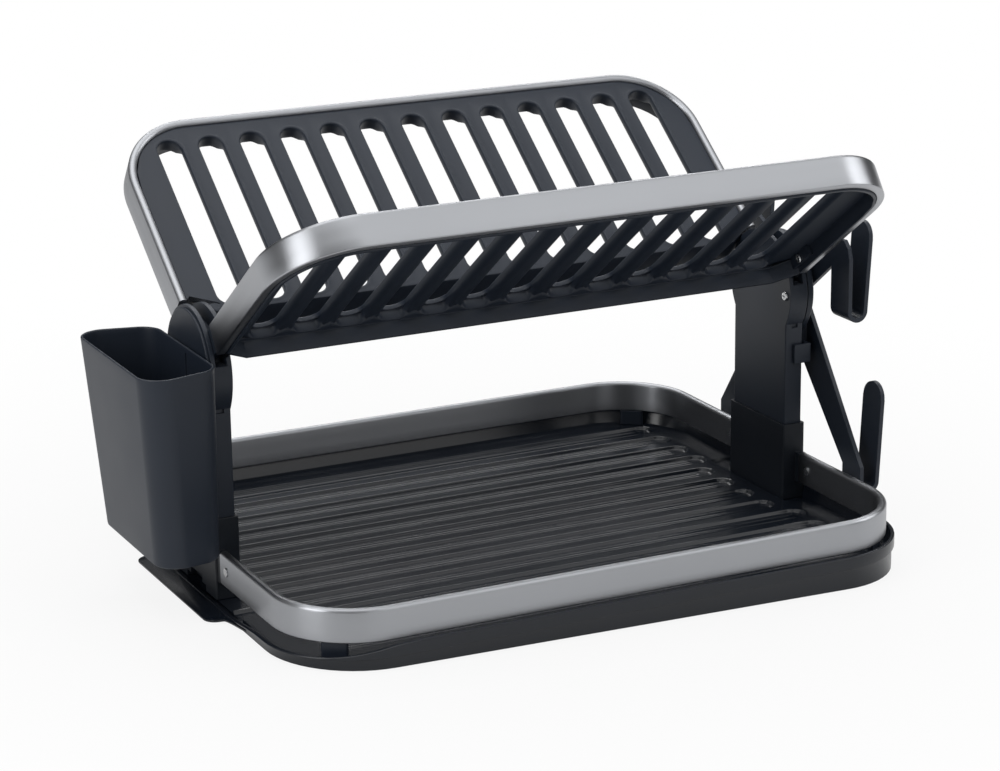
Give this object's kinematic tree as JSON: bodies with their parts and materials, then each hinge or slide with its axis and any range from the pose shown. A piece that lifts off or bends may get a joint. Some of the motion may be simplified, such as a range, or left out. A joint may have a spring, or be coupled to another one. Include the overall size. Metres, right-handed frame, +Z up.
{
  "type": "two-tier dish rack",
  "caption": "Two-tier dish rack: framed drip tray with spout, posts in sleeves, two folding slotted wings, a hanging cutlery holder and clip-on side hooks.",
  "frame": {"origin": "middle of the tray's length and depth under the lower frame, on the counter plane", "axes": "+X along the long side towards the side holder (the drain spout and the cutlery holder are at -X), +Y from the user's side to the back, +Z up"},
  "size_m": [0.5515, 0.396, 0.2992],
  "materials": {
    "anthracite_plastic": "fine satin moulded texture",
    "black_plastic": "fine satin moulded texture",
    "satin_aluminium": "satin anodised",
    "bright_steel": "plated, semi-bright",
    "soft_rubber": "matte"
  },
  "bodies": {
    "tray": {"drip_tray": "anthracite_plastic", "tray_pads": "soft_rubber"},
    "lower_rack": {"lower_frame_front": "satin_aluminium", "lower_frame_back": "satin_aluminium", "left_sleeve": "black_plastic", "right_sleeve": "black_plastic", "frame_rivets": "bright_steel", "frame_corner_feet": "black_plastic"},
    "uprights": {"left_post": "anthracite_plastic", "right_post": "anthracite_plastic", "left_hub_cover": "anthracite_plastic", "right_hub_cover": "anthracite_plastic", "left_hinge_pin": "bright_steel", "right_hinge_pin": "bright_steel", "left_stop_pin": "bright_steel", "right_stop_pin": "bright_steel", "cheek_screws": "bright_steel", "cup_bracket": "anthracite_plastic"},
    "front_wing": {"front_wing_grid": "anthracite_plastic", "front_wing_rail": "satin_aluminium", "front_wing_screws": "bright_steel", "front_wing_left_bracket": "anthracite_plastic", "front_wing_right_bracket": "anthracite_plastic"},
    "back_wing": {"back_wing_grid": "anthracite_plastic", "back_wing_rail": "satin_aluminium", "back_wing_screws": "bright_steel", "back_wing_left_bracket": "anthracite_plastic", "back_wing_right_bracket": "anthracite_plastic"},
    "cutlery_holder": {"cutlery_holder": "anthracite_plastic"},
    "side_holder": {"side_holder": "anthracite_plastic"}
  },
  "joints": [
    {"name": "lower_rack_lift", "type": "slide", "parent": "tray", "child": "lower_rack", "axis": [-0.0192, 0, 0.9998], "range_m": [0, 0.03]},
    {"name": "uprights_lift", "type": "slide", "parent": "lower_rack", "child": "uprights", "axis": [-0.0192, 0, 0.9998], "range_m": [0, 0.06]},
    {"name": "front_wing_fold", "type": "hinge", "parent": "uprights", "child": "front_wing", "pos_m": [-0.00271, 0, 0.16197], "axis": [-0.9998, 0, -0.0192], "range_deg": [0, 38]},
    {"name": "back_wing_fold", "type": "hinge", "parent": "uprights", "child": "back_wing", "pos_m": [-0.00271, 0, 0.16197], "axis": [0.9998, 0, 0.0192], "range_deg": [0, 37.2]},
    {"name": "cutlery_holder_lift", "type": "slide", "parent": "uprights", "child": "cutlery_holder", "axis": [-0.0192, 0, 0.9998], "range_m": [0, 0.022]},
    {"name": "side_holder_off", "type": "slide", "parent": "uprights", "child": "side_holder", "axis": [0.9998, 0, 0.0192], "range_m": [0, 0.025]}
  ]
}
